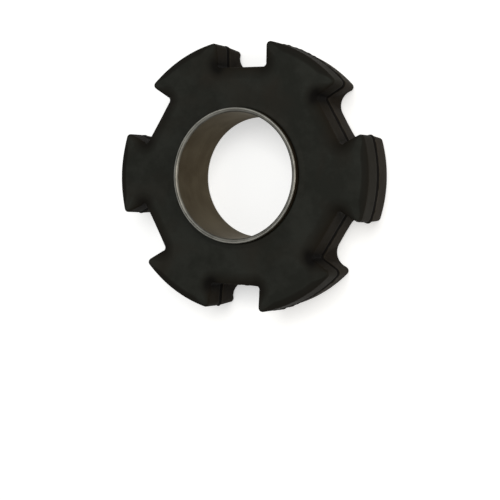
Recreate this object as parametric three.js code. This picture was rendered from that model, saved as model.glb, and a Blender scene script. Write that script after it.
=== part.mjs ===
// A six-lobed rubber drive coupling with a steel centre sleeve. Millimetres, +Z up.
//
// The coupling lies on its back face. Z is the shaft axis, and the origin is the middle of the bore on
// the back face. The lobes stand at 0, 60, 120 ... degrees from +X, and the notches that take the claws
// of the two hubs stand half-way between them, so one notch opens along +Y and one along -Y.
//
// The rubber is one moulding. Its two mould halves meet at the parting plane, half-way up, where a thin
// ridge of flash runs all the way round. Each half tapers away from that plane by its draft, the edges
// round over into the faces, and the front face rises to a low collar round the sleeve. The sleeve is a
// turned steel tube that the rubber is bonded to. It ends flush with the back face and stands proud of
// the front one.

import * as THREE from "three";
import { mergeVertices } from "three/addons/utils/BufferGeometryUtils.js";

const { degToRad, lerp, smoothstep } = THREE.MathUtils;

// The rubber, measured at the parting plane.
const LOBES = 6;
const OUTER_DIAMETER = 110;
const NOTCH_DEPTH = 10.8;
const NOTCH_WIDTH = 20.8;
const NOTCH_FLARE = degToRad(2.5); // how far each notch wall leans out of parallel: a notch widens outwards
const TIP_FILLET = 2; // at the outer corners of a lobe
const ROOT_FILLET = 0.8; // at the inner corners of a notch
const THICKNESS = 23.6;

// The two mould halves. The fillet at a notch's inner corners starts at the parting plane as the root
// fillet and reaches faceRootFillet at the face. Draft is how far each stretch of the outline leans in on
// the way to the face. Edge is how the stretch rounds over into the face: reach is measured along the
// face, drop down from it.
const FRONT_HALF = {
  side: 1,
  faceRootFillet: ROOT_FILLET,
  draft: { floor: degToRad(6), wall: degToRad(1.5), rim: degToRad(2.7) },
  edge: {
    floor: { reach: 5, drop: 2 },
    root: { reach: 5.4, drop: 1.8 },
    tip: { reach: 1.1, drop: 1.2 },
    rim: { reach: 3, drop: 1.1 },
  },
};
const BACK_HALF = {
  side: -1,
  faceRootFillet: 6,
  draft: { floor: degToRad(0.5), wall: degToRad(1.3), rim: degToRad(2) },
  edge: {
    floor: { reach: 3, drop: 2 },
    root: { reach: 2.2, drop: 1.8 },
    tip: { reach: 1.1, drop: 1.2 },
    rim: { reach: 2, drop: 1.1 },
  },
};
const TIP_BLEND = 7; // the length of rim over which an edge grows from the tip's rounding to the rim's

// The flash along the parting plane.
const FLASH_HEIGHT = 0.4;
const FLASH_THICKNESS = 0.9;

// The steel sleeve.
const BORE_DIAMETER = 50;
const SLEEVE_WALL = 1.8;
const SLEEVE_PROUD = 3.4; // how far the sleeve stands out of the front face
const BORE_CHAMFER = 0.7;
const SLEEVE_CHAMFER = 0.3; // on the outside of the sleeve
const BOND_GAP = 0.05; // the bonding coat between the steel and the rubber

// The low rubber collar round the sleeve, on the front face. Its inner edge rounds down to the sleeve,
// which leaves a fine groove between the two.
const COLLAR_HEIGHT = 0.8;
const COLLAR_FLANK = 2; // how wide the slope is that climbs from the face to the collar's crest
const COLLAR_ROUNDING = 0.6;

// How many straight pieces stand for each curve.
const FLOOR_STEPS = 2;
const ROOT_STEPS = 4;
const WALL_STEPS = 4;
const TIP_STEPS = 4;
const RIM_STEPS = 8;
const EDGE_STEPS = 5;
const FLANK_STEPS = 4;
const ROUNDING_STEPS = 3;
const ROUND_STEPS = 96;

const OUTER_RADIUS = OUTER_DIAMETER / 2;
const FLOOR_DISTANCE = OUTER_RADIUS - NOTCH_DEPTH;
const SLEEVE_INNER_RADIUS = BORE_DIAMETER / 2;
const SLEEVE_OUTER_RADIUS = SLEEVE_INNER_RADIUS + SLEEVE_WALL;
const SLEEVE_LENGTH = THICKNESS + SLEEVE_PROUD;
const RUBBER_BORE_RADIUS = SLEEVE_OUTER_RADIUS + BOND_GAP;
const PARTING_HEIGHT = THICKNESS / 2;

// The finish of an edge part of the way from one stretch's to the next's.
const blendEdges = (from, to, share) => ({
  reach: lerp(from.reach, to.reach, share),
  drop: lerp(from.drop, to.drop, share),
});

// Half of one notch and half of the lobe beside it, as stations along the outline at the parting plane.
// A station has its place, its outward normal, its lean and its edge. The notch opens along +X here, and
// the outline runs from the middle of its floor to the middle of the lobe's rim.
function halfNotch(rootFillet, { draft, edge }) {
  const wallAlong = new THREE.Vector2(Math.cos(NOTCH_FLARE), Math.sin(NOTCH_FLARE));
  const wallNormal = new THREE.Vector2(wallAlong.y, -wallAlong.x);
  const corner = new THREE.Vector2(FLOOR_DISTANCE, NOTCH_WIDTH / 2);

  // The root fillet touches the floor and the wall from inside the notch.
  const rootCentre = new THREE.Vector2(
    FLOOR_DISTANCE + rootFillet,
    corner.y - (rootFillet * (1 - wallAlong.y)) / wallAlong.x,
  );
  const wallStart = rootCentre.clone().addScaledVector(wallNormal, -rootFillet);

  // The tip fillet touches the wall and the rim from inside the lobe, so its centre lies on a line
  // beside the wall, where that line crosses a circle one fillet inside the rim.
  const besideWall = corner.clone().addScaledVector(wallNormal, -TIP_FILLET);
  const inward = besideWall.dot(wallAlong);
  const tipCircle = OUTER_RADIUS - TIP_FILLET;
  const alongWall = -inward + Math.sqrt(inward ** 2 - besideWall.lengthSq() + tipCircle ** 2);
  const tipCentre = besideWall.clone().addScaledVector(wallAlong, alongWall);
  const wallEnd = tipCentre.clone().addScaledVector(wallNormal, TIP_FILLET);

  const wallNormalAngle = wallNormal.angle() - 2 * Math.PI;
  const rimStart = tipCentre.angle();
  const rimEnd = Math.PI / LOBES;
  const stations = [];
  const add = (at, normal, angle, rounding) =>
    stations.push({ at, normal, lean: Math.tan(angle), rounding });

  for (let i = 0; i < FLOOR_STEPS; i++) {
    const at = new THREE.Vector2(FLOOR_DISTANCE, (rootCentre.y * i) / FLOOR_STEPS);
    add(at, new THREE.Vector2(1, 0), draft.floor, blendEdges(edge.floor, edge.root, i / FLOOR_STEPS));
  }
  for (let i = 0; i < ROOT_STEPS; i++) {
    const share = i / ROOT_STEPS;
    const normal = new THREE.Vector2(1, 0).rotateAround(new THREE.Vector2(), wallNormalAngle * share);
    const at = rootCentre.clone().addScaledVector(normal, -rootFillet);
    add(at, normal, lerp(draft.floor, draft.wall, share), edge.root);
  }
  for (let i = 0; i < WALL_STEPS; i++) {
    const share = i / WALL_STEPS;
    const at = wallStart.clone().lerp(wallEnd, share);
    add(at, wallNormal, draft.wall, blendEdges(edge.root, edge.tip, smoothstep(share, 0, 1)));
  }
  for (let i = 0; i < TIP_STEPS; i++) {
    const share = i / TIP_STEPS;
    const angle = lerp(wallNormalAngle, rimStart, share);
    const normal = new THREE.Vector2(Math.cos(angle), Math.sin(angle));
    const at = tipCentre.clone().addScaledVector(normal, TIP_FILLET);
    add(at, normal, lerp(draft.wall, draft.rim, share), edge.tip);
  }
  for (let i = 0; i <= RIM_STEPS; i++) {
    const angle = lerp(rimStart, rimEnd, i / RIM_STEPS);
    const normal = new THREE.Vector2(Math.cos(angle), Math.sin(angle));
    const share = smoothstep((angle - rimStart) * OUTER_RADIUS, 0, TIP_BLEND);
    const at = normal.clone().multiplyScalar(OUTER_RADIUS);
    add(at, normal, draft.rim, blendEdges(edge.tip, edge.rim, share));
  }
  return stations;
}

// The whole outline, anticlockwise: each half notch and its mirror image, once for every lobe.
function outline(rootFillet, mouldHalf) {
  const half = halfNotch(rootFillet, mouldHalf);
  const mirror = ({ at, normal, ...rest }) => ({
    at: new THREE.Vector2(at.x, -at.y),
    normal: new THREE.Vector2(normal.x, -normal.y),
    ...rest,
  });
  const mirrored = half.slice(1, -1).reverse().map(mirror);
  const notch = [...mirrored, ...half];
  const middle = new THREE.Vector2();
  return Array.from({ length: LOBES }, (_, lobe) => {
    const turn = ((2 * lobe + 1) * Math.PI) / LOBES;
    return notch.map(({ at, normal, ...rest }) => ({
      at: at.clone().rotateAround(middle, turn),
      normal: normal.clone().rotateAround(middle, turn),
      ...rest,
    }));
  }).flat();
}

// One mould half as rings of points, from the parting plane's flash out to its face.
function skinRings(mouldHalf) {
  const ring = (stations, heightAt, insetAt) =>
    stations.map((station) => {
      const height = heightAt(station);
      const inset = station.lean * height + insetAt(station);
      const at = station.at.clone().addScaledVector(station.normal, -inset);
      return new THREE.Vector3(at.x, at.y, PARTING_HEIGHT + mouldHalf.side * height);
    });
  const parting = outline(ROOT_FILLET, mouldHalf);
  const face = outline(mouldHalf.faceRootFillet, mouldHalf);
  const rings = [ring(parting, () => FLASH_THICKNESS / 2, () => 0)];
  for (let i = 0; i <= EDGE_STEPS; i++) {
    const turn = ((Math.PI / 2) * i) / EDGE_STEPS;
    rings.push(
      ring(
        face,
        ({ rounding }) => PARTING_HEIGHT - rounding.drop * (1 - Math.sin(turn)),
        ({ rounding }) => rounding.reach * (1 - Math.cos(turn)),
      ),
    );
  }
  return rings;
}

// The crest of the flash, all round the parting plane.
function flashCrest() {
  return outline(ROOT_FILLET, FRONT_HALF).map(({ at, normal }) => {
    const crest = at.clone().addScaledVector(normal, FLASH_HEIGHT);
    return new THREE.Vector3(crest.x, crest.y, PARTING_HEIGHT);
  });
}

// A level circle of points about the axis.
function circle(radius, height) {
  return Array.from({ length: ROUND_STEPS }, (_, i) => {
    const angle = (2 * Math.PI * i) / ROUND_STEPS;
    return new THREE.Vector3(radius * Math.cos(angle), radius * Math.sin(angle), height);
  });
}

// Triangles between two rings that have as many points, facing out when the second one lies above the
// first and both run anticlockwise.
function band(lower, upper) {
  return lower.flatMap((point, i) => {
    const next = (i + 1) % lower.length;
    return [point, lower[next], upper[next], point, upper[next], upper[i]];
  });
}

// Triangles of a level face between an outline and a hole in it, facing up, or down if asked.
function face(boundary, hole, facingDown) {
  const clockwiseHole = [...hole].reverse();
  const corners = [...boundary, ...clockwiseHole];
  const triangles = THREE.ShapeUtils.triangulateShape(boundary, [clockwiseHole]);
  return triangles.flatMap(([a, b, c]) => {
    const order = facingDown ? [a, c, b] : [a, b, c];
    return order.map((index) => corners[index]);
  });
}

// The rings of the collar, from its foot on the front face to the rubber's bore: a soft slope up to the
// crest, then a quarter round down to the sleeve.
function collar() {
  const crest = RUBBER_BORE_RADIUS + COLLAR_ROUNDING;
  const flank = Array.from({ length: FLANK_STEPS }, (_, i) => {
    const share = i / FLANK_STEPS;
    const height = THICKNESS + COLLAR_HEIGHT * smoothstep(share, 0, 1);
    return circle(crest + COLLAR_FLANK * (1 - share), height);
  });
  const rounding = Array.from({ length: ROUNDING_STEPS + 1 }, (_, i) => {
    const turn = ((Math.PI / 2) * i) / ROUNDING_STEPS;
    const height = THICKNESS + COLLAR_HEIGHT - COLLAR_ROUNDING * (1 - Math.cos(turn));
    return circle(crest - COLLAR_ROUNDING * Math.sin(turn), height);
  });
  return [...flank, ...rounding];
}

function meshOf(name, geometry, material) {
  geometry.computeVertexNormals();
  const mesh = new THREE.Mesh(geometry, material);
  mesh.name = name;
  return mesh;
}

// The moulded rubber body.
function rubberBody() {
  const skin = [...skinRings(BACK_HALF).reverse(), flashCrest(), ...skinRings(FRONT_HALF)];
  const collarRings = collar();
  const boreFoot = circle(RUBBER_BORE_RADIUS, 0);
  const points = [
    ...skin.slice(1).flatMap((ring, i) => band(skin[i], ring)),
    ...face(skin[0], boreFoot, true),
    ...face(skin[skin.length - 1], collarRings[0], false),
    ...collarRings.slice(1).flatMap((ring, i) => band(collarRings[i], ring)),
    ...band(collarRings[collarRings.length - 1], boreFoot),
  ];
  const loose = new THREE.BufferGeometry().setFromPoints(points);
  const rubber = new THREE.MeshStandardMaterial({ color: 0x24251f, roughness: 0.8, metalness: 0 });
  return meshOf("rubber_body", mergeVertices(loose, 1e-4), rubber);
}

// The turned steel tube, with a chamfer on each of its four edges.
function steelSleeve() {
  const profile = [
    [SLEEVE_INNER_RADIUS, BORE_CHAMFER],
    [SLEEVE_INNER_RADIUS + BORE_CHAMFER, 0],
    [SLEEVE_OUTER_RADIUS - SLEEVE_CHAMFER, 0],
    [SLEEVE_OUTER_RADIUS, SLEEVE_CHAMFER],
    [SLEEVE_OUTER_RADIUS, SLEEVE_LENGTH - SLEEVE_CHAMFER],
    [SLEEVE_OUTER_RADIUS - SLEEVE_CHAMFER, SLEEVE_LENGTH],
    [SLEEVE_INNER_RADIUS + BORE_CHAMFER, SLEEVE_LENGTH],
    [SLEEVE_INNER_RADIUS, SLEEVE_LENGTH - BORE_CHAMFER],
    [SLEEVE_INNER_RADIUS, BORE_CHAMFER],
  ].map(([radius, height]) => new THREE.Vector2(radius, height));
  const tube = new THREE.LatheGeometry(profile, ROUND_STEPS);
  tube.rotateX(Math.PI / 2);
  const steel = new THREE.MeshStandardMaterial({ color: 0x8b8a82, roughness: 0.45, metalness: 1 });
  return meshOf("steel_sleeve", tube, steel);
}

const coupling = new THREE.Group();
coupling.name = "drive_coupling";
coupling.add(rubberBody(), steelSleeve());

export default coupling;
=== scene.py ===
"""The finished look of a six-lobed rubber drive coupling with a steel centre sleeve.

The coupling lies on its back face on a pale floor, and the camera looks down on its front face. Both
pieces of the frame are made again here as fine surfaces of the same form: the moulded rubber with its
ragged flash, and the turned sleeve. Lengths in the classes are millimetres, and meshes are metres.
"""

from __future__ import annotations

import logging
import math
from dataclasses import dataclass, field, replace
from enum import Enum
from functools import partial
from typing import ClassVar

import bpy
import numpy as np
from mathutils import Matrix, Vector


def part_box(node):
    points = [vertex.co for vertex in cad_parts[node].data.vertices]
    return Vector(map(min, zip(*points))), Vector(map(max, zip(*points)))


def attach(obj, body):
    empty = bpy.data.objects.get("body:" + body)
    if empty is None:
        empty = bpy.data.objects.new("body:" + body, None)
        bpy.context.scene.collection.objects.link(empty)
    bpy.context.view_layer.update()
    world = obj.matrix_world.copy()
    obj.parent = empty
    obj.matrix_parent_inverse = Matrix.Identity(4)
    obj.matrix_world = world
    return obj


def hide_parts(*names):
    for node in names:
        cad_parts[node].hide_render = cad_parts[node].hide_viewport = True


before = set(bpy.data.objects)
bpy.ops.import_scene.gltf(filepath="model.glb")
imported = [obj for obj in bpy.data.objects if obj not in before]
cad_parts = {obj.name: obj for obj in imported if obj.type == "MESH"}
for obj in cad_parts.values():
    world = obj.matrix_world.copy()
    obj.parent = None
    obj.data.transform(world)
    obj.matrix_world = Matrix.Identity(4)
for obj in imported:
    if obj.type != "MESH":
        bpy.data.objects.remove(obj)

log = logging.getLogger("coupling")

MM = 0.001
ROOT_BODY = "root"


class Part(Enum):
    """The nodes of the frame, each with a material slot name."""

    RUBBER = ("rubber_body", "rubber")
    SLEEVE = ("steel_sleeve", "steel")

    @property
    def node(self) -> str:
        """The node's name."""
        return self.value[0]

    @property
    def slot(self) -> str:
        """The material slot's name."""
        return self.value[1]


def box_mm(part: Part) -> tuple[np.ndarray, np.ndarray]:
    """The low and the high corner of a frame node's box, in millimetres."""
    low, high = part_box(part.node)
    return np.array(low) / MM, np.array(high) / MM


def linear(colour: str) -> tuple[float, float, float, float]:
    """Turns a hex colour into the linear values that a shader takes.

    Args:
        colour: An sRGB colour such as "#24251f".

    Returns:
        Red, green, blue and an alpha of 1.
    """
    parts = [int(colour[i:i + 2], 16) / 255 for i in (1, 3, 5)]
    red, green, blue = [c / 12.92 if c <= 0.04045 else ((c + 0.055) / 1.055) ** 2.4 for c in parts]
    return red, green, blue, 1.0


def per_metre(size_mm: float) -> float:
    """The scale of a noise texture whose features are about size_mm across, on coordinates in metres."""
    return 1 / (size_mm * MM)


def smoothstep(share: np.ndarray) -> np.ndarray:
    """An S curve from 0 to 1 as share goes from 0 to 1, flat outside that range."""
    t = np.clip(share, 0, 1)
    return t * t * (3 - 2 * t)


def mix(start: np.ndarray | float, end: np.ndarray | float, share: np.ndarray | float) -> np.ndarray:
    """The value at a share of the way from start to end."""
    return np.asarray(start) + (np.asarray(end) - np.asarray(start)) * share


def closed_grid(
    name: str,
    points: np.ndarray,
    masks: dict[str, np.ndarray] | None = None,
    flats: dict[int, np.ndarray] | None = None,
) -> bpy.types.Object:
    """Makes a smooth mesh from a grid of points that closes on itself both ways, like a ring.

    Row i and row i + 1, and column j and column j + 1, span a four-sided face, and the last row and
    column join the first ones. Faces point out where rows climb the outside and columns run
    anticlockwise.

    Args:
        name: The object's name.
        points: The grid, rows by columns by 3, in millimetres.
        masks: Values from 0 to 1 for each grid point, kept as named attributes that materials read.
        flats: Rows that lie in one plane with the row after them, each with its columns where the flat
            strip between the two is cut across. Each length of such a strip is one many-sided face.

    Returns:
        The new object, at the origin.
    """
    rows, columns = points.shape[:2]
    index = np.arange(rows * columns).reshape(rows, columns)
    right = np.roll(index, -1, axis=1)
    quads = np.stack([index, right, np.roll(right, -1, axis=0), np.roll(index, -1, axis=0)], axis=-1)
    bridged = flats or {}
    quads = np.delete(quads, list(bridged), axis=0)
    wide = []
    for row, cuts in bridged.items():
        for first, last in zip(cuts, np.append(cuts[1:], cuts[0] + columns)):
            span = np.arange(first, last + 1) % columns
            wide.append(np.concatenate([index[row, span], index[row + 1, span[::-1]]]))
    corners = np.concatenate([quads.ravel(), *wide])
    sizes = np.concatenate([np.full(quads.size // 4, 4), [len(face) for face in wide]]).astype(np.int32)
    mesh = bpy.data.meshes.new(name)
    mesh.vertices.add(points.shape[0] * points.shape[1])
    mesh.vertices.foreach_set("co", (points.reshape(-1, 3) * MM).ravel())
    mesh.loops.add(corners.size)
    mesh.loops.foreach_set("vertex_index", corners.astype(np.int32))
    mesh.polygons.add(sizes.size)
    mesh.polygons.foreach_set("loop_start", (np.cumsum(sizes) - sizes).astype(np.int32))
    mesh.polygons.foreach_set("use_smooth", np.ones(sizes.size, dtype=bool))
    mesh.update(calc_edges=True)
    for mask_name, values in (masks or {}).items():
        attribute = mesh.attributes.new(mask_name, "FLOAT", "POINT")
        attribute.data.foreach_set("value", np.clip(values, 0, 1).astype(np.float32).ravel())
    mesh.validate()
    piece = bpy.data.objects.new(name, mesh)
    bpy.context.scene.collection.objects.link(piece)
    return piece


def add_node(
    tree: bpy.types.NodeTree, kind: str, settings: dict[str, object] | None = None, **inputs: object
) -> bpy.types.Node:
    """Adds a node to a tree, sets it up and links it.

    Args:
        tree: The node tree of a material or of the world.
        kind: The node's type without its leading "ShaderNode", such as "Bump".
        settings: Properties of the node itself, with their values.
        **inputs: A value or an output socket for each input that isn't left alone. Spaces in an input's
            name are written as underscores, and at_2 stands for the input numbered 2.

    Returns:
        The new node.
    """
    node = tree.nodes.new("ShaderNode" + kind)
    for key, value in (settings or {}).items():
        setattr(node, key, value)
    for key, value in inputs.items():
        socket = node.inputs[int(key[3:]) if key.startswith("at_") else key.replace("_", " ")]
        if isinstance(value, bpy.types.NodeSocket):
            tree.links.new(value, socket)
        else:
            socket.default_value = value
    return node


def new_material(name: str) -> bpy.types.Material:
    """Starts a material of that name with an empty node tree."""
    material = bpy.data.materials.new(name)
    material.use_nodes = True
    material.node_tree.nodes.clear()
    return material


@dataclass(frozen=True)
class MouldedRubber:
    """Carbon-filled rubber, compression moulded.

    The mould leaves the faces matt and faintly pebbled. Wax that has come to the surface dulls them to a
    green grey in broad, weak patches, and where it is missing the rubber is a little browner. The walls are
    painted browner and paler on the rims than in the notches, as painted light where light grazes them. The
    notches are painted dark as painted shade, most of all in their corners, the rounded edges carry a band
    of painted shade, and a painted shadow lies beside the parting line.
    """

    face: str = "#1f201c"
    face_bloom: str = "#272824"
    face_bare: str = "#24211c"
    # The notch, edge and pit tints are painted shade and the parting tint is a painted shadow; the two rim
    # tints paint the walls paler as painted light.
    notch: str = "#1a160f"
    rim: str = "#1f1d18"
    rim_back_painted_light: str = "#231e17"
    edge: str = "#13110d"
    pit: str = "#080706"
    parting: str = "#0a0806"
    flash: str = "#38332a"
    bloom_mm: float = 16.0
    bare_mm: float = 22.0
    mottle_mm: float = 2.5
    mottle_in_bloom: float = 0.4
    grain_mm: float = 0.5
    grain_in_relief: float = 0.5
    relief_mm: float = 0.12
    gloss: float = 0.06

    def make(self) -> bpy.types.Material:
        """Makes the material, which reads the masks of its piece: one attribute for each tint."""
        material = new_material("moulded_rubber")
        add = partial(add_node, material.node_tree)
        place = add("TexCoord").outputs["Object"]
        # Patches of wax are about as wide as a thumb, and the pebbling is as fine as the mould's blasting,
        # drawn a little coarser than real so that it shows.
        bloom = add("TexNoise", Vector=place, Scale=per_metre(self.bloom_mm), Detail=3.0)
        mottle = add("TexNoise", Vector=place, Scale=per_metre(self.mottle_mm), Detail=4.0, Roughness=0.6)
        grain = add("TexNoise", Vector=place, Scale=per_metre(self.grain_mm), Detail=2.0)
        patches = add(
            "Math",
            {"operation": "MULTIPLY_ADD"},
            at_0=mottle.outputs["Fac"],
            at_1=self.mottle_in_bloom,
            at_2=bloom.outputs["Fac"],
        ).outputs["Value"]
        waxed = add("MapRange", Value=patches, From_Min=0.58, From_Max=0.82).outputs["Result"]
        colour = add(
            "Mix", {"data_type": "RGBA"}, at_0=waxed, at_6=linear(self.face), at_7=linear(self.face_bloom)
        ).outputs[2]
        bare = add("TexNoise", Vector=place, Scale=per_metre(self.bare_mm), Detail=2.0, Distortion=0.6)
        bare_share = add("MapRange", Value=bare.outputs["Fac"], From_Min=0.5, From_Max=0.75, To_Max=0.7)
        colour = add(
            "Mix",
            {"data_type": "RGBA"},
            at_0=bare_share.outputs["Result"],
            at_6=colour,
            at_7=linear(self.face_bare),
        ).outputs[2]
        # Every tint but the flash's is painted light: painted shade in the notches, on the rounded edges and
        # in the corners, a painted shadow beside the parting line, and painted paleness on the rims.
        tints = {
            "in_notch": self.notch,
            "on_front_rim": self.rim,
            "on_back_rim": self.rim_back_painted_light,
            "on_edge": self.edge,
            "in_pit": self.pit,
            "beside_parting": self.parting,
            "on_flash": self.flash,
        }
        for mask, tint in tints.items():
            share = add("Attribute", {"attribute_name": mask}).outputs["Fac"]
            colour = add("Mix", {"data_type": "RGBA"}, at_0=share, at_6=colour, at_7=linear(tint)).outputs[2]
        sheen = add("MapRange", Value=patches, From_Min=0.5, From_Max=0.9, To_Min=0.7, To_Max=0.82)
        relief = add(
            "Math",
            {"operation": "MULTIPLY_ADD"},
            at_0=grain.outputs["Fac"],
            at_1=self.grain_in_relief,
            at_2=mottle.outputs["Fac"],
        )
        bump = add("Bump", Strength=0.4, Distance=self.relief_mm * MM, Height=relief.outputs["Value"])
        surface = add(
            "BsdfPrincipled",
            Base_Color=colour,
            Roughness=sheen.outputs["Result"],
            Specular_IOR_Level=self.gloss,
            Normal=bump.outputs["Normal"],
        )
        add("OutputMaterial", Surface=surface.outputs["BSDF"])
        return material


@dataclass(frozen=True)
class TurnedSteel:
    """Mild steel, faced and chamfered on a lathe.

    The tool's turns show as two light bands with a fine dark line between them, and a film of oil dulls
    the grey in patches. The turns are drawn coarser than a lathe's real feed of about 0.15 mm, so that
    the sleeve's end holds two of them, as the photograph shows.
    """

    bright: str = "#9f9e96"
    dull: str = "#5c5b55"
    ring_mm: float = 0.811
    ring_in_tone: float = 0.7
    stain_mm: float = 5.0
    relief_mm: float = 0.01

    def make(self) -> bpy.types.Material:
        """Makes the material, with its rings round the Z axis."""
        material = new_material("turned_steel")
        add = partial(add_node, material.node_tree)
        place = add("TexCoord").outputs["Object"]
        stain = add("TexNoise", Vector=place, Scale=per_metre(self.stain_mm), Detail=4.0)
        # At a scale of 1, a ring pattern repeats 20 / tau times per metre.
        rings = add(
            "TexWave",
            {"wave_type": "RINGS", "rings_direction": "Z"},
            Vector=place,
            Scale=per_metre(self.ring_mm) * math.tau / 20,
            Distortion=0.5,
            Detail=2.0,
        )
        tone = add(
            "Math",
            {"operation": "MULTIPLY_ADD"},
            at_0=rings.outputs["Fac"],
            at_1=self.ring_in_tone,
            at_2=stain.outputs["Fac"],
        )
        share = add("MapRange", Value=tone.outputs["Value"], From_Min=0.5, From_Max=1.2)
        colour = add(
            "Mix",
            {"data_type": "RGBA"},
            at_0=share.outputs["Result"],
            at_6=linear(self.dull),
            at_7=linear(self.bright),
        )
        bump = add("Bump", Strength=0.25, Distance=self.relief_mm * MM, Height=rings.outputs["Fac"])
        surface = add(
            "BsdfPrincipled",
            Base_Color=colour.outputs[2],
            Metallic=1.0,
            Roughness=0.52,
            Normal=bump.outputs["Normal"],
        )
        add("OutputMaterial", Surface=surface.outputs["BSDF"])
        return material


@dataclass(frozen=True)
class BoredSteel:
    """The long walls of the sleeve: the same steel, browned by a dried coat of rust-proofing oil.

    Fine scores run round the bore, and the brown is thicker in patches. The coat takes a little from the
    white edge that clean metal has where it is seen aslant.
    """

    clean: str = "#4d4537"
    browned: str = "#3b3225"
    aslant: str = "#ece8de"
    stain_mm: float = 12.0
    score_mm: float = 0.4
    score_in_tone: float = 0.3
    along_score: float = 0.02
    relief_mm: float = 0.01

    def make(self) -> bpy.types.Material:
        """Makes the material. Its scores are noise drawn out across Z, so that they run round the bore."""
        material = new_material("bored_steel")
        add = partial(add_node, material.node_tree)
        place = add("TexCoord").outputs["Object"]
        stain = add("TexNoise", Vector=place, Scale=per_metre(self.stain_mm), Detail=5.0)
        drawn = add("Mapping", Vector=place, Scale=(self.along_score, self.along_score, 1.0))
        scores = add("TexNoise", Vector=drawn.outputs["Vector"], Scale=per_metre(self.score_mm), Detail=2.0)
        tone = add(
            "Math",
            {"operation": "MULTIPLY_ADD"},
            at_0=scores.outputs["Fac"],
            at_1=self.score_in_tone,
            at_2=stain.outputs["Fac"],
        )
        share = add("MapRange", Value=tone.outputs["Value"], From_Min=0.45, From_Max=0.85)
        colour = add(
            "Mix",
            {"data_type": "RGBA"},
            at_0=share.outputs["Result"],
            at_6=linear(self.browned),
            at_7=linear(self.clean),
        )
        bump = add("Bump", Strength=0.2, Distance=self.relief_mm * MM, Height=scores.outputs["Fac"])
        surface = add(
            "BsdfPrincipled",
            Base_Color=colour.outputs[2],
            Metallic=1.0,
            Roughness=0.55,
            Specular_Tint=linear(self.aslant),
            Normal=bump.outputs["Normal"],
        )
        add("OutputMaterial", Surface=surface.outputs["BSDF"])
        return material


@dataclass(frozen=True)
class WhitePaper:
    """Matt white background paper.

    It looks pure white to the eye and in whatever mirrors it, and keeps the coupling's soft shadow.
    """

    paper: str = "#e4e4e2"
    glow: float = 0.46

    def make(self) -> bpy.types.Material:
        """Makes the material, with a glow that only the eye and mirror images see."""
        material = new_material("white_paper")
        add = partial(add_node, material.node_tree)
        rays = add("LightPath").outputs
        seen = rays["Is Camera Ray"]
        for other in ("Is Glossy Ray", "Is Transmission Ray"):
            seen = add("Math", {"operation": "MAXIMUM"}, at_0=seen, at_1=rays[other]).outputs["Value"]
        glow = add("Math", {"operation": "MULTIPLY"}, at_0=seen, at_1=self.glow).outputs["Value"]
        matt = add("BsdfDiffuse", Color=linear(self.paper))
        light = add("Emission", Strength=glow)
        both = add("AddShader", at_0=matt.outputs["BSDF"], at_1=light.outputs["Emission"])
        add("OutputMaterial", Surface=both.outputs["Shader"])
        return material


@dataclass(frozen=True)
class Rounding:
    """How an edge rounds over into a face: reach is measured along the face, drop down from it."""

    reach: float
    drop: float


@dataclass(frozen=True)
class MouldHalf:
    """One half of the rubber, on one side of the parting plane.

    Each half leans in from the parting plane to its face by its drafts, in degrees, and its edges round
    over into the face. A real mould never shuts quite true, so a half may be turned a little. The last
    three fields are shares from 0 to 1: of a groove beside the flash with its painted shadow, of the rims'
    painted paleness that the notches take on as painted light, and of painted shade in the notches' corners.
    """

    side: int
    face_root_fillet: float
    draft: tuple[float, float, float]
    floor: Rounding
    root: Rounding
    tip: Rounding
    rim: Rounding
    turn_deg: float = 0.0
    groove: float = 0.0
    notch_painted_light: float = 0.0
    pit: float = 0.0


@dataclass
class Stations:
    """Points along the outline at the parting plane, with what happens to the wall above each."""

    at: np.ndarray
    normal: np.ndarray
    lean: np.ndarray
    reach: np.ndarray
    drop: np.ndarray
    rim: np.ndarray
    corner: np.ndarray

    def join(self, other: Stations) -> Stations:
        """These stations and then the others."""
        return Stations(*(np.concatenate(pair) for pair in zip(vars(self).values(), vars(other).values())))

    def mirrored(self) -> Stations:
        """The same stations mirrored in the X axis and in reverse order, without the two end ones."""
        flip = np.array([1.0, -1.0])
        reverse = Stations(*(values[-2:0:-1] for values in vars(self).values()))
        return replace(reverse, at=reverse.at * flip, normal=reverse.normal * flip)

    def turned(self, angle: float) -> Stations:
        """The same stations turned anticlockwise about the origin by an angle in radians."""
        c, s = math.cos(angle), math.sin(angle)
        turn = np.array([[c, s], [-s, c]])
        return replace(self, at=self.at @ turn, normal=self.normal @ turn)


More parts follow.
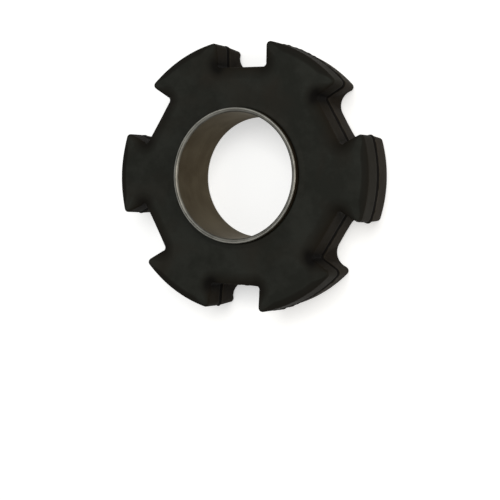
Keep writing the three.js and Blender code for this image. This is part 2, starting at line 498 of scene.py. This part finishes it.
@dataclass
class RubberBody:
    """The moulded rubber: a lofted stack of outlines, with flash along its parting line."""

    # The masks of the rubber; all but on_flash carry painted light and shade.
    MASKS: ClassVar[tuple[str, ...]] = (
        "in_notch", "on_front_rim", "on_back_rim", "on_edge", "in_pit", "beside_parting", "on_flash",
    )
    # Where torn nubs of flash stand, as degrees round the axis, each with its half width in millimetres.
    NUBS: ClassVar[tuple[tuple[float, float], ...]] = (
        (100.6, 1.2), (-100.2, 1.1), (-18.2, 1.1), (18.0, 0.9), (47.0, 1.6), (-47.0, 1.4),
    )
    # How many steps each stretch of half a notch and half a lobe is divided into.
    FLOOR_STEPS: ClassVar[int] = 10
    ROOT_STEPS: ClassVar[int] = 8
    WALL_STEPS: ClassVar[int] = 12
    TIP_STEPS: ClassVar[int] = 8
    RIM_STEPS: ClassVar[int] = 24
    # How many rows of the loft lie on each stretch of a mould half, and on the collar.
    FLASH_ROWS: ClassVar[int] = 4
    GROOVE_ROWS: ClassVar[int] = 5
    HALF_ROWS: ClassVar[int] = 8
    EDGE_ROWS: ClassVar[int] = 14
    FLANK_ROWS: ClassVar[int] = 12
    COLLAR_ROWS: ClassVar[int] = 8

    outer_radius: float
    thickness: float
    bore_radius: float
    lobes: int = 6
    notch_depth: float = 10.8
    notch_width: float = 20.8
    notch_flare_deg: float = 2.5
    tip_fillet: float = 2.0
    root_fillet: float = 0.8
    tip_blend: float = 7.0
    flat_margin: float = 0.3
    bond_gap: float = 0.05
    corner_shade: float = 2.6
    least_shade: float = 0.35
    edge_shade: tuple[float, float] = (0.25, 0.6)
    front: MouldHalf = MouldHalf(
        side=1,
        face_root_fillet=0.8,
        draft=(6.0, 1.5, 2.7),
        floor=Rounding(5.0, 2.0),
        root=Rounding(5.4, 1.8),
        tip=Rounding(1.1, 1.2),
        rim=Rounding(3.0, 1.1),
        groove=1.0,
        notch_painted_light=0.15,
        pit=0.95,
    )
    back: MouldHalf = MouldHalf(
        side=-1,
        face_root_fillet=6.0,
        draft=(0.5, 1.3, 2.0),
        floor=Rounding(3.0, 2.0),
        root=Rounding(2.2, 1.8),
        tip=Rounding(1.1, 1.2),
        rim=Rounding(2.0, 1.1),
        turn_deg=0.13,
        notch_painted_light=0.8,
        pit=0.3,
    )
    collar_height: float = 0.8
    collar_flank: float = 2.0
    collar_rounding: float = 0.6
    flash_height: float = 0.4
    flash_least: float = 0.06
    flash_base: float = 0.45
    wave_mm: tuple[float, float] = (2.0, 20.0)
    wave_count: int = 14
    groove_depth: float = 0.4
    groove_width: float = 2.3
    seed: int = 7
    finish: MouldedRubber = field(default_factory=MouldedRubber)

    @classmethod
    def from_frame(cls) -> RubberBody:
        """Takes the overall sizes from the frame's own rubber and sleeve."""
        low, high = box_mm(Part.RUBBER)
        _, sleeve_high = box_mm(Part.SLEEVE)
        return cls(
            outer_radius=float(high[0] - cls.flash_height),
            thickness=float(high[2] - low[2] - cls.collar_height),
            bore_radius=float(sleeve_high[0] + cls.bond_gap),
        )

    def half_notch(self, root_fillet: float, half: MouldHalf) -> Stations:
        """Half of a notch that opens along +X, and half of the lobe beside it.

        The floor is a straight line across the X axis, the root and tip fillets are arcs, the wall is a
        straight line that leans out by the flare, and the rim is an arc about the origin.

        Args:
            root_fillet: The fillet between floor and wall.
            half: The mould half whose drafts and edges the stations get.

        Returns:
            The stations from the middle of the floor to the middle of the rim.
        """
        flare = math.radians(self.notch_flare_deg)
        floor_x = self.outer_radius - self.notch_depth
        along = np.array([math.cos(flare), math.sin(flare)])
        wall_normal = np.array([along[1], -along[0]])
        sharp = np.array([floor_x, self.notch_width / 2])
        root = np.array([floor_x + root_fillet, sharp[1] - root_fillet * (1 - along[1]) / along[0]])
        beside = sharp - self.tip_fillet * wall_normal
        inward = float(beside @ along)
        tip_circle = self.outer_radius - self.tip_fillet
        tip = beside + along * (-inward + math.sqrt(inward ** 2 - beside @ beside + tip_circle ** 2))
        wall_angle = flare - math.pi / 2
        rim_start = math.atan2(tip[1], tip[0])

        def arc(centre: np.ndarray, radius: float, angles: np.ndarray) -> tuple[np.ndarray, np.ndarray]:
            """Points on an arc, centre plus radius times the direction, and those directions."""
            facing = np.stack([np.cos(angles), np.sin(angles)], axis=1)
            return centre + radius * facing, facing

        def shares(count: int) -> np.ndarray:
            """Even shares from 0 up to, but not with, 1."""
            return np.arange(count) / count

        floor_draft, wall_draft, rim_draft = (math.tan(math.radians(d)) for d in half.draft)
        f, r = shares(self.FLOOR_STEPS), shares(self.ROOT_STEPS)
        w, t = shares(self.WALL_STEPS), shares(self.TIP_STEPS)
        rim_angles = np.linspace(rim_start, math.pi / self.lobes, self.RIM_STEPS + 1)
        rim_share = smoothstep((rim_angles - rim_start) * self.outer_radius / self.tip_blend)
        root_at, root_normal = arc(root, -root_fillet, mix(0, wall_angle, r))
        tip_at, tip_normal = arc(tip, self.tip_fillet, mix(wall_angle, rim_start, t))
        rim_at, rim_normal = arc(np.zeros(2), self.outer_radius, rim_angles)
        wall_start, wall_end = root - root_fillet * wall_normal, tip + self.tip_fillet * wall_normal
        ones = np.ones_like
        at = np.concatenate([
            np.stack([floor_x * ones(f), root[1] * f], axis=1),
            root_at,
            wall_start + np.outer(w, wall_end - wall_start),
            tip_at,
            rim_at,
        ])
        normal = np.concatenate([
            np.tile([1.0, 0.0], (len(f), 1)),
            root_normal,
            np.tile(wall_normal, (len(w), 1)),
            tip_normal,
            rim_normal,
        ])
        lean = np.concatenate([
            floor_draft * ones(f),
            mix(floor_draft, wall_draft, r),
            wall_draft * ones(w),
            mix(wall_draft, rim_draft, t),
            rim_draft * ones(rim_angles),
        ])
        reach = np.concatenate([
            mix(half.floor.reach, half.root.reach, f),
            half.root.reach * ones(r),
            mix(half.root.reach, half.tip.reach, smoothstep(w)),
            half.tip.reach * ones(t),
            mix(half.tip.reach, half.rim.reach, rim_share),
        ])
        drop = np.concatenate([
            mix(half.floor.drop, half.root.drop, f),
            half.root.drop * ones(r),
            mix(half.root.drop, half.tip.drop, smoothstep(w)),
            half.tip.drop * ones(t),
            mix(half.tip.drop, half.rim.drop, rim_share),
        ])
        rim = np.concatenate([np.zeros(len(f) + len(r) + len(w)), smoothstep(t), ones(rim_angles)])
        corner_at = root_at[len(r) // 2]
        corner = np.exp(-((np.linalg.norm(at - corner_at, axis=1) / self.corner_shade) ** 2))
        return Stations(at, normal, lean, reach, drop, rim, corner)

    def outline(self, root_fillet: float, half: MouldHalf) -> Stations:
        """The whole outline, anticlockwise: each half notch and its mirror image, once for every lobe."""
        part = self.half_notch(root_fillet, half)
        notch = part.mirrored().join(part)
        whole = notch.turned(math.pi / self.lobes)
        for lobe in range(1, self.lobes):
            whole = whole.join(notch.turned((2 * lobe + 1) * math.pi / self.lobes))
        return whole

    def ring(self, stations: Stations, half: MouldHalf, height: np.ndarray, inset: np.ndarray) -> np.ndarray:
        """One row of the loft.

        Each station moves in along its normal by its lean times the height, plus the inset. The row is
        then turned by the mould half's own error.

        Args:
            stations: The outline.
            half: The mould half that the row is in.
            height: The row's distance from the parting plane at each station.
            inset: How much further in it lies at each station.

        Returns:
            The points of the row.
        """
        inward = (stations.lean * height + inset)[:, None]
        return self.placed(stations.at - stations.normal * inward, half, height)

    def placed(self, flat: np.ndarray, half: MouldHalf, height: np.ndarray) -> np.ndarray:
        """Lifts flat points to a height in a mould half, turned by that half's error."""
        share = np.minimum(1, height / self.flash_base)
        angle = math.radians(half.turn_deg) * share
        c, s = np.cos(angle), np.sin(angle)
        x = c * flat[:, 0] - s * flat[:, 1]
        y = s * flat[:, 0] + c * flat[:, 1]
        return np.stack([x, y, self.thickness / 2 + half.side * height], axis=1)

    def flash_profile(self, stations: Stations) -> np.ndarray:
        """How far the flash stands out at each station.

        It is a sum of sine waves of the distance along the outline, cut off at its least and at its full
        height, with a few torn nubs put in as bell curves.

        Args:
            stations: The outline.

        Returns:
            The heights.
        """
        steps = np.linalg.norm(np.roll(stations.at, -1, axis=0) - stations.at, axis=1)
        along = np.concatenate([[0], np.cumsum(steps)[:-1]])
        length = steps.sum()
        random = np.random.default_rng(self.seed)
        counts = np.round(length / np.geomspace(*self.wave_mm, self.wave_count))
        phases = random.uniform(0, 2 * np.pi, counts.size)
        sizes = random.uniform(0.3, 1.0, counts.size) / counts.size
        turns = 2 * np.pi * np.outer(counts, along) / length + phases[:, None]
        waves = (sizes[:, None] * np.sin(turns)).sum(0)
        mean_share, swing_share = 0.4, 1.8
        height = mean_share * self.flash_height + swing_share * self.flash_height * waves
        polar = np.degrees(np.arctan2(stations.at[:, 1], stations.at[:, 0]))
        for nub_deg, nub_mm in self.NUBS:
            away = (polar - nub_deg + 180) % 360 - 180
            bell = np.exp(-((np.radians(away) * self.outer_radius / nub_mm) ** 2))
            height = np.maximum(height, self.flash_height * bell)
        return np.clip(height, self.flash_least, self.flash_height)

    def pit_shade_weight(self, stations: Stations) -> np.ndarray:
        """How much painted shade the corner at each station of a notch gets.

        A corner's wall faces across its notch. Corners whose wall faces +X, away from the photograph's
        light, keep their full dark, and those whose wall faces -X keep the least shade. From the middle
        towards the coupling's -X side all of them fade to half.

        Args:
            stations: The outline's stations.

        Returns:
            A share from 0 to 1 per station.
        """
        angle = np.arctan2(stations.at[:, 1], stations.at[:, 0])
        pitch = math.tau / self.lobes
        notch = np.round((angle - math.pi / 2) / pitch) * pitch + math.pi / 2
        facing = np.sign(angle - notch) * np.sin(notch)
        fade_start, faded = 0.9, 0.5
        across = smoothstep(fade_start + stations.at[:, 0] / self.outer_radius)
        return mix(self.least_shade, 1.0, smoothstep(0.5 + facing)) * mix(faded, 1.0, across)

    def skin(self, half: MouldHalf) -> tuple[list[np.ndarray], dict[str, list[np.ndarray]]]:
        """The rows of one mould half, from beside the flash's crest out to the edge of its face.

        Args:
            half: The mould half.

        Returns:
            The rows, and each mask's values for them.
        """
        parting = self.outline(self.root_fillet, half)
        face = self.outline(half.face_root_fillet, half)
        flash = self.flash_profile(parting)
        zero = np.zeros(len(flash))
        rows: list[np.ndarray] = []
        masks: dict[str, list[np.ndarray]] = {name: [] for name in self.MASKS}
        rim_mask = "on_front_rim" if half.side > 0 else "on_back_rim"
        # The walls are painted paler towards the rims, as painted light.
        pale = mix(half.notch_painted_light, 1.0, parting.rim)
        # The notches' corners get painted shade.
        pit = half.pit * parting.corner * self.pit_shade_weight(parting)
        # The corners' painted shade runs a little way on from the wall over the face, and is full on the
        # wall.
        pit_on_face, pit_gain = 0.1, 1.6
        # The painted shade on a rounded edge starts past its wall end and rises steeply on both sides.
        edge_start, edge_gain = 0.08, 6

        def add(row: np.ndarray, wall: float = 1.0, **values: float | np.ndarray) -> None:
            """Keeps a row with its masks: how far it belongs to the wall, and the masks that are its own."""
            rows.append(row)
            # Walls in the notches get painted shade, and walls towards the rims get painted light.
            values |= {"in_notch": wall * (1 - parting.rim), rim_mask: wall * pale}
            values["in_pit"] = pit * smoothstep(np.asarray(wall * pit_gain + pit_on_face))
            for name, kept in masks.items():
                kept.append(zero + values.get(name, 0.0))

        # The flash stands on its base as a narrow ridge, and on the front half a groove runs beside it,
        # painted dark as a painted shadow.
        for share in np.linspace(0, 1, self.FLASH_ROWS + 1)[1:]:
            height = zero + self.flash_base * share
            add(self.ring(parting, half, height, -flash * (1 - share) ** 1.5), on_flash=(1 - share) ** 2,
                beside_parting=share * half.groove)
        for share in np.linspace(0, 1, self.GROOVE_ROWS + 1)[1:]:
            height = zero + self.flash_base + self.groove_width * share
            dip = half.groove * self.groove_depth * math.sin(math.pi * share) ** 2
            add(self.ring(parting, half, height, zero + dip), beside_parting=half.groove * (1 - share ** 4))
        # The wall runs straight from the groove to where the edge starts to round over, while the
        # corners' fillets grow from the parting plane's to the face's.
        top = self.ring(face, half, self.thickness / 2 - face.drop, zero)
        groove_end = rows[-1]
        for share in np.linspace(0, 1, self.HALF_ROWS + 1)[1:-1]:
            add(mix(groove_end, top, share))
        # Each rounded edge carries a band of painted shade, stronger on the rims than in the notches.
        for turn in np.linspace(0, math.pi / 2, self.EDGE_ROWS + 1):
            height = self.thickness / 2 - face.drop * (1 - math.sin(turn))
            share = turn / (math.pi / 2)
            band = float(np.clip(edge_gain * min(share - edge_start, 1 - share), 0, 1))
            add(self.ring(face, half, height, face.reach * (1 - math.cos(turn))),
                wall=1 - float(smoothstep(np.asarray(share))),
                on_edge=band * mix(*self.edge_shade, parting.rim))
        # One more row lies flat, so that the wide flat face beside it is shaded as flat up to its edge.
        add(self.ring(face, half, zero + self.thickness / 2, face.reach + self.flat_margin), wall=0.0)
        return rows, masks

    def circle(self, angles: np.ndarray, radius: float, height: float) -> np.ndarray:
        """A level row about the axis: radius times cosine and sine of the angles, at one height."""
        level = np.full_like(angles, height)
        return np.stack([radius * np.cos(angles), radius * np.sin(angles), level], axis=1)

    def build(self) -> bpy.types.Object:
        """Makes the rubber as one closed grid.

        The rows run from the hole's back edge out over the back face, up the back half, over the flash,
        up the front half, and in over the front face and the collar. The last row joins the first one
        down the wall of the hole.

        Returns:
            The finished piece.
        """
        back_rows, back_masks = self.skin(self.back)
        front_rows, front_masks = self.skin(self.front)
        parting = self.outline(self.root_fillet, self.front)
        flash = self.flash_profile(parting)
        crest = self.ring(parting, self.front, np.zeros(len(flash)), -flash)
        angles = 2 * math.pi * (np.arange(len(flash)) + 1) / len(flash)
        foot = self.bore_radius + self.collar_rounding + self.collar_flank
        collar: list[np.ndarray] = []
        for share in np.linspace(0, 1, self.FLANK_ROWS + 1)[:-1]:
            rise = self.collar_height * float(smoothstep(np.asarray(share)))
            collar.append(self.circle(angles, foot - self.collar_flank * share, self.thickness + rise))
        for turn in np.linspace(0, math.pi / 2, self.COLLAR_ROWS + 1):
            radius = self.bore_radius + self.collar_rounding * (1 - math.sin(turn))
            height = self.thickness + self.collar_height - self.collar_rounding * (1 - math.cos(turn))
            collar.append(self.circle(angles, radius, height))
        bore_end = [self.circle(angles, self.bore_radius + out, 0.0) for out in (0.0, self.flat_margin)]
        rows = bore_end + back_rows[::-1] + [crest] + front_rows + collar
        lobe_middles = len(angles) // self.lobes * np.arange(1, self.lobes + 1) - 1
        flats = {len(bore_end) - 1: lobe_middles, len(rows) - len(collar) - 1: lobe_middles}
        masks: dict[str, np.ndarray] = {}
        for name in self.MASKS:
            before = np.zeros((len(bore_end), len(angles)))
            ridge = np.full((1, len(angles)), float(name == "on_flash"))
            after = np.zeros((len(collar), len(angles)))
            masks[name] = np.concatenate([before, back_masks[name][::-1], ridge, front_masks[name], after])
        piece = closed_grid("moulded_rubber_body", np.stack(rows), masks, flats)
        piece.data.materials.append(self.finish.make())
        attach(piece, ROOT_BODY)
        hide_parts(Part.RUBBER.node)
        return piece


@dataclass
class SteelSleeve:
    """The turned tube: a profile with softened chamfers, carried round the Z axis."""

    # How many points each softened corner has, and each of the two long walls with its ends.
    BEND_POINTS: ClassVar[int] = 5
    WALL_POINTS: ClassVar[int] = 24

    inner_radius: float
    outer_radius: float
    length: float
    bore_chamfer: float = 0.7
    outer_chamfer: float = 0.3
    softening: float = 0.05
    segments: int = 512
    faced: TurnedSteel = field(default_factory=TurnedSteel)
    bored: BoredSteel = field(default_factory=BoredSteel)

    @classmethod
    def from_frame(cls, wall: float = 1.8) -> SteelSleeve:
        """Takes the outer size from the frame's own sleeve, and a wall in millimetres."""
        _, high = box_mm(Part.SLEEVE)
        return cls(inner_radius=float(high[0] - wall), outer_radius=float(high[0]), length=float(high[2]))

    def profile(self) -> tuple[np.ndarray, np.ndarray]:
        """The section of the tube, anticlockwise seen with the radius to the right and the height up.

        Each corner is cut by a quadratic curve between the points one softening before and after it.
        The two long walls are divided evenly.

        Returns:
            The points, and for each stretch after a point whether it is on one of the two long walls,
            inside the bore or outside, which keep their stain.
        """
        i, o, n = self.inner_radius, self.outer_radius, self.length
        b, c = self.bore_chamfer, self.outer_chamfer
        corners = np.array([
            [i, b], [i + b, 0], [o - c, 0], [o, c], [o, n - c], [o - c, n], [i + b, n], [i, n - b],
        ])
        before = np.roll(corners, 1, axis=0) - corners
        after = np.roll(corners, -1, axis=0) - corners
        start = corners + before / np.linalg.norm(before, axis=1, keepdims=True) * self.softening
        end = corners + after / np.linalg.norm(after, axis=1, keepdims=True) * self.softening
        t = np.linspace(0, 1, self.BEND_POINTS)[:, None, None]
        bends = (1 - t) ** 2 * start + 2 * t * (1 - t) * corners + t ** 2 * end
        points: list[np.ndarray] = []
        stained: list[bool] = []
        for k in range(len(corners)):
            long = k in (3, len(corners) - 1)
            points.append(bends[:, k])
            if long:
                shares = np.linspace(0, 1, self.WALL_POINTS)[1:-1, None]
                points.append(shares * (np.roll(start, -1, axis=0)[k] - end[k]) + end[k])
            stained += [False] * (self.BEND_POINTS - 1)
            stained += [True] * (self.WALL_POINTS - 1) if long else [False]
        return np.concatenate(points), np.array(stained)

    def build(self) -> bpy.types.Object:
        """Makes the sleeve as one closed grid, with the bore and the outside in their own finish."""
        section, stained = self.profile()
        angles = np.linspace(0, 2 * math.pi, self.segments, endpoint=False)
        radius = section[:, 0][:, None]
        height = np.repeat(section[:, 1][:, None], self.segments, axis=1)
        points = np.stack([radius * np.cos(angles), radius * np.sin(angles), height], axis=-1)
        piece = closed_grid("turned_steel_sleeve", points)
        piece.data.materials.append(self.faced.make())
        piece.data.materials.append(self.bored.make())
        piece.data.polygons.foreach_set("material_index", np.repeat(stained, self.segments).astype(np.int32))
        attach(piece, ROOT_BODY)
        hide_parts(Part.SLEEVE.node)
        return piece


@dataclass(frozen=True)
class SoftLight:
    """A square lamp that faces the coupling."""

    name: str
    azimuth_deg: float
    elevation_deg: float
    distance_m: float
    size_m: float
    power_w: float
    colour: str = "#ffffff"

    def add(self, target: Vector) -> None:
        """Places the lamp round the target: azimuth 0 is the +X side, and elevation is from the floor."""
        azimuth, elevation = math.radians(self.azimuth_deg), math.radians(self.elevation_deg)
        back = Vector((math.cos(azimuth) * math.cos(elevation), math.sin(azimuth) * math.cos(elevation),
                       math.sin(elevation)))
        light = bpy.data.lights.new(self.name, "AREA")
        light.size = self.size_m
        light.energy = self.power_w
        light.color = linear(self.colour)[:3]
        lamp = bpy.data.objects.new(self.name, light)
        lamp.location = target + back * self.distance_m
        lamp.rotation_euler = back.to_track_quat("Z", "Y").to_euler()
        bpy.context.scene.collection.objects.link(lamp)


@dataclass(frozen=True)
class PhotoCamera:
    """The photograph's viewpoint.

    The coupling's middle falls on sight_px. The camera's axes come from three turns of the coupling
    before it: a spin about the bore's axis, then yaw about the vertical, then pitch about the horizontal.
    The photograph keeps empty floor below the coupling, so the lens is shifted until its axis stands at
    axis_px, level with the coupling.
    """

    frame_px: float = 500.0
    axis_px: tuple[float, float] = (250.0, 177.0)
    sight_px: tuple[float, float] = (249.269, 176.229)
    yaw_deg: float = -25.697
    pitch_deg: float = -1.676
    spin_deg: float = -1.949
    distance_mm: float = 374.23
    px_per_mm: float = 2.45767
    sensor_mm: float = 36.0

    def add(self, middle: Vector) -> None:
        """Places the camera so that the middle of the coupling is seen as in the photograph."""
        turn = (
            Matrix.Rotation(math.radians(self.pitch_deg), 3, "X")
            @ Matrix.Rotation(math.radians(self.yaw_deg), 3, "Y")
            @ Matrix.Rotation(math.radians(self.spin_deg), 3, "Z")
        )
        seen = Vector((
            (self.sight_px[0] - self.axis_px[0]) / self.px_per_mm,
            (self.axis_px[1] - self.sight_px[1]) / self.px_per_mm,
            -self.distance_mm,
        )) * MM
        data = bpy.data.cameras.new("photo_camera")
        data.sensor_width = self.sensor_mm
        data.lens = self.sensor_mm * self.px_per_mm * self.distance_mm / self.frame_px
        data.shift_y = self.axis_px[1] / self.frame_px - 0.5
        camera = bpy.data.objects.new("photo_camera", data)
        facing = turn.transposed()
        camera.matrix_world = Matrix.Translation(middle - facing @ seen) @ facing.to_4x4()
        bpy.context.scene.collection.objects.link(camera)
        bpy.context.scene.camera = camera


@dataclass
class Studio:
    """The floor, the lamps, the world and the camera."""

    floor_m: float = 6.0
    floor_gap_mm: float = 0.05
    world_strength: float = 0.4
    paper: WhitePaper = field(default_factory=WhitePaper)
    camera: PhotoCamera = field(default_factory=PhotoCamera)
    lights: tuple[SoftLight, ...] = (
        SoftLight(
            "front_key", azimuth_deg=60.0, elevation_deg=72.0, distance_m=1.0, size_m=0.5, power_w=5.0
        ),
        SoftLight(
            "right_fill",
            azimuth_deg=5.0,
            elevation_deg=24.0,
            distance_m=0.9,
            size_m=0.4,
            power_w=2.4,
            colour="#fff4e6",
        ),
    )

    def add_floor(self) -> None:
        """Lays the paper just under the coupling's back face."""
        half = self.floor_m / 2
        low = -self.floor_gap_mm * MM
        corners = [(-half, -half, low), (half, -half, low), (half, half, low), (-half, half, low)]
        mesh = bpy.data.meshes.new("studio_floor")
        mesh.from_pydata(corners, [], [(0, 1, 2, 3)])
        floor = bpy.data.objects.new("studio_floor", mesh)
        mesh.materials.append(self.paper.make())
        bpy.context.scene.collection.objects.link(floor)

    def add_world(self) -> None:
        """Lights the scene evenly from all round, and shows white where the floor ends."""
        world = bpy.data.worlds.new("studio_world")
        world.use_nodes = True
        world.node_tree.nodes.clear()
        add = partial(add_node, world.node_tree)
        seen = add("LightPath").outputs["Is Camera Ray"]
        level = add("MapRange", Value=seen, To_Min=self.world_strength, To_Max=1.0)
        background = add("Background", Color=linear("#ffffff"), Strength=level.outputs["Result"])
        add("OutputWorld", Surface=background.outputs["Background"])
        bpy.context.scene.world = world

    def build(self, middle: Vector) -> None:
        """Sets the stage round the middle of the coupling."""
        self.add_floor()
        self.add_world()
        for light in self.lights:
            light.add(middle)
        self.camera.add(middle)
        bpy.context.scene.view_settings.view_transform = "Standard"


def main() -> None:
    """Builds the coupling and its studio, and logs each piece's face count."""
    logging.basicConfig(level=logging.INFO, format="%(name)s: %(message)s")
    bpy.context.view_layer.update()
    rubber = RubberBody.from_frame()
    for piece in (rubber.build(), SteelSleeve.from_frame().build()):
        log.info("%s has %d faces", piece.name, len(piece.data.polygons))
    Studio().build(Vector((0, 0, rubber.thickness / 2 * MM)))
    log.info("studio is set")


if __name__ == "__main__":
    main()
